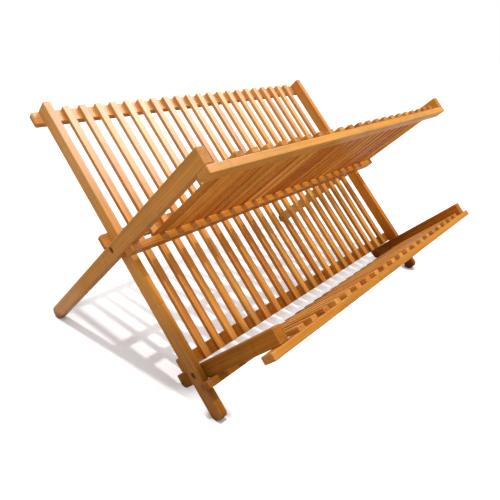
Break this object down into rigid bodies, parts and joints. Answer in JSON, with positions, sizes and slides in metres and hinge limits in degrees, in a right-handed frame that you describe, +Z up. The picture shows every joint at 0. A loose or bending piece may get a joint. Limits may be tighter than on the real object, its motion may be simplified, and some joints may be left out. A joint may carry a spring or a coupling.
{
  "type": "dish drying rack",
  "caption": "Folding bamboo dish drying rack: two slatted panels cross on pins to hold plates, with a hinged slatted shelf low in front for cups.",
  "frame": {"origin": "on the floor, at the middle of the open rack's length and depth", "axes": "+X along the rack to the right as seen from the front, +Y to the back, +Z up"},
  "size_m": [0.4794, 0.3368, 0.262],
  "materials": {
    "slat_bamboo": "satin lacquer",
    "frame_bamboo": "satin lacquer",
    "pin_steel": "dull"
  },
  "bodies": {
    "main_panel": {"main_stile_left": "frame_bamboo", "main_stile_right": "frame_bamboo", "main_top_rail": "frame_bamboo", "main_mid_rail": "frame_bamboo", "main_bottom_rail": "frame_bamboo", "main_slat_01": "slat_bamboo", "main_slat_02": "slat_bamboo", "main_slat_03": "slat_bamboo", "main_slat_04": "slat_bamboo", "main_slat_05": "slat_bamboo", "main_slat_06": "slat_bamboo", "main_slat_07": "slat_bamboo", "main_slat_08": "slat_bamboo", "main_slat_09": "slat_bamboo", "main_slat_10": "slat_bamboo", "main_slat_11": "slat_bamboo", "main_slat_12": "slat_bamboo", "main_slat_13": "slat_bamboo", "main_slat_14": "slat_bamboo", "main_slat_15": "slat_bamboo", "main_slat_16": "slat_bamboo", "main_slat_17": "slat_bamboo", "main_slat_18": "slat_bamboo", "main_slat_19": "slat_bamboo", "main_slat_20": "slat_bamboo", "main_slat_21": "slat_bamboo", "upper_pivot_pins": "pin_steel", "lower_pivot_pins": "pin_steel"},
    "upper_panel": {"upper_stile_left": "frame_bamboo", "upper_stile_right": "frame_bamboo", "upper_front_rail": "frame_bamboo", "upper_rear_rail": "frame_bamboo", "upper_slat_01": "slat_bamboo", "upper_slat_02": "slat_bamboo", "upper_slat_03": "slat_bamboo", "upper_slat_04": "slat_bamboo", "upper_slat_05": "slat_bamboo", "upper_slat_06": "slat_bamboo", "upper_slat_07": "slat_bamboo", "upper_slat_08": "slat_bamboo", "upper_slat_09": "slat_bamboo", "upper_slat_10": "slat_bamboo", "upper_slat_11": "slat_bamboo", "upper_slat_12": "slat_bamboo", "upper_slat_13": "slat_bamboo", "upper_slat_14": "slat_bamboo", "upper_slat_15": "slat_bamboo", "upper_slat_16": "slat_bamboo", "upper_slat_17": "slat_bamboo", "upper_slat_18": "slat_bamboo", "upper_slat_19": "slat_bamboo", "upper_slat_20": "slat_bamboo", "upper_slat_21": "slat_bamboo"},
    "lower_shelf": {"lower_side_rail_left": "frame_bamboo", "lower_side_rail_right": "frame_bamboo", "lower_front_rail": "frame_bamboo", "lower_rear_rail": "frame_bamboo", "lower_slats": "slat_bamboo"}
  },
  "joints": [
    {"name": "upper_panel_fold", "type": "hinge", "parent": "main_panel", "child": "upper_panel", "pos_m": [0, 0.03329, 0.13747], "axis": [-1, 0, 0], "range_deg": [0, 89.6]},
    {"name": "lower_shelf_fold", "type": "hinge", "parent": "main_panel", "child": "lower_shelf", "pos_m": [0, -0.07214, 0.03647], "axis": [-1, 0, 0], "range_deg": [0, 90.5]}
  ]
}
